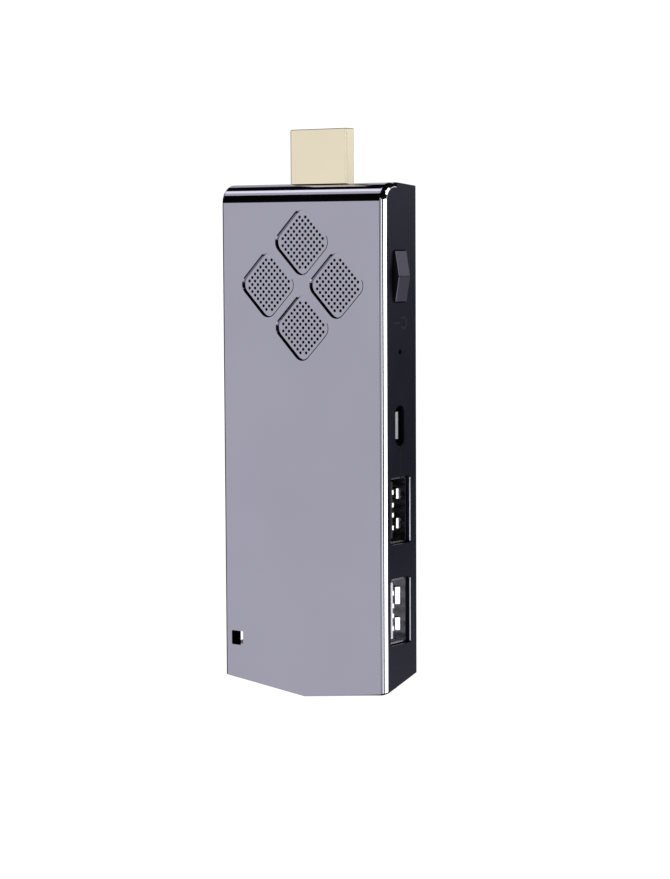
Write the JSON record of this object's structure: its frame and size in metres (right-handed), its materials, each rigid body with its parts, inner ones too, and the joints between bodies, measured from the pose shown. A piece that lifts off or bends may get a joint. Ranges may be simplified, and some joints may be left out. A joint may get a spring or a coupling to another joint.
{
  "type": "streaming media player",
  "caption": "Slim upright media stick with an HDMI plug on top, sunk diamond vents, a V-shaped foot, a side power button and side USB ports.",
  "frame": {"origin": "on the HDMI plug's axis where the plug leaves the top of the case", "axes": "+Z along the plug, out of its mouth; -Y out of the vented front cover; +X out of the wall with the button and the ports"},
  "size_m": [0.0414, 0.0111, 0.1135],
  "materials": {
    "cover": "glossy anodised lavender grey, bright bevel",
    "shell": "satin black",
    "tape": "black foam tape",
    "mesh": "fine black mesh",
    "gold": "pale gold plating",
    "insulator": "moulded black",
    "contact": "gold plated",
    "board": "green solder mask",
    "screw": "zinc plated",
    "chip": "moulded epoxy",
    "pad": "soft grey",
    "sink": "extruded",
    "inductor": "ferrite",
    "can": "satin",
    "capacitor": "ceramic",
    "module": "blue solder mask",
    "port_metal": "nickel plated",
    "pale_insulator": "moulded white",
    "button": "satin",
    "plunger": "moulded cream",
    "light_pipe": "smoked clear",
    "led": "clear resin"
  },
  "bodies": {
    "case": {"front_cover": "cover", "rear_shell": "shell", "cover_tape": "tape", "vent_mesh": "mesh", "hdmi_shell": "gold", "hdmi_insulator": "insulator", "hdmi_contacts": "contact", "main_board": "board", "board_screws": "screw", "soc_chip": "chip", "thermal_pad": "pad", "heat_sink": "sink", "memory_chips": "chip", "flash_chip": "chip", "power_chip": "chip", "usb_hub_chip": "chip", "power_inductors": "inductor", "clock_crystals": "can", "filter_capacitors": "capacitor", "wifi_module": "module", "wifi_can": "can", "wifi_antenna": "can", "usb_1_shell": "port_metal", "usb_1_insulator": "insulator", "usb_1_contacts": "contact", "usb_2_shell": "port_metal", "usb_2_insulator": "pale_insulator", "usb_2_contacts": "contact", "micro_usb_shell": "port_metal", "micro_usb_tongue": "pale_insulator", "micro_usb_contacts": "contact", "switch_base": "insulator", "switch_dome": "can", "switch_cover": "can", "light_pipe": "light_pipe", "status_led": "led"},
    "button": {"power_button": "button"},
    "plunger": {"switch_plunger": "plunger"}
  },
  "joints": [
    {"name": "power_press", "type": "slide", "parent": "case", "child": "button", "axis": [-1, 0, 0], "range_m": [0, 0.00035], "stiffness_N_per_m": 400, "springref_m": -0.001},
    {"name": "plunger_slide", "type": "slide", "parent": "case", "child": "plunger", "axis": [-1, 0, 0], "range_m": [0, 0.00035]}
  ],
  "couplings": [
    {"joint": "plunger_slide", "follows": "power_press", "ratio": 1}
  ]
}
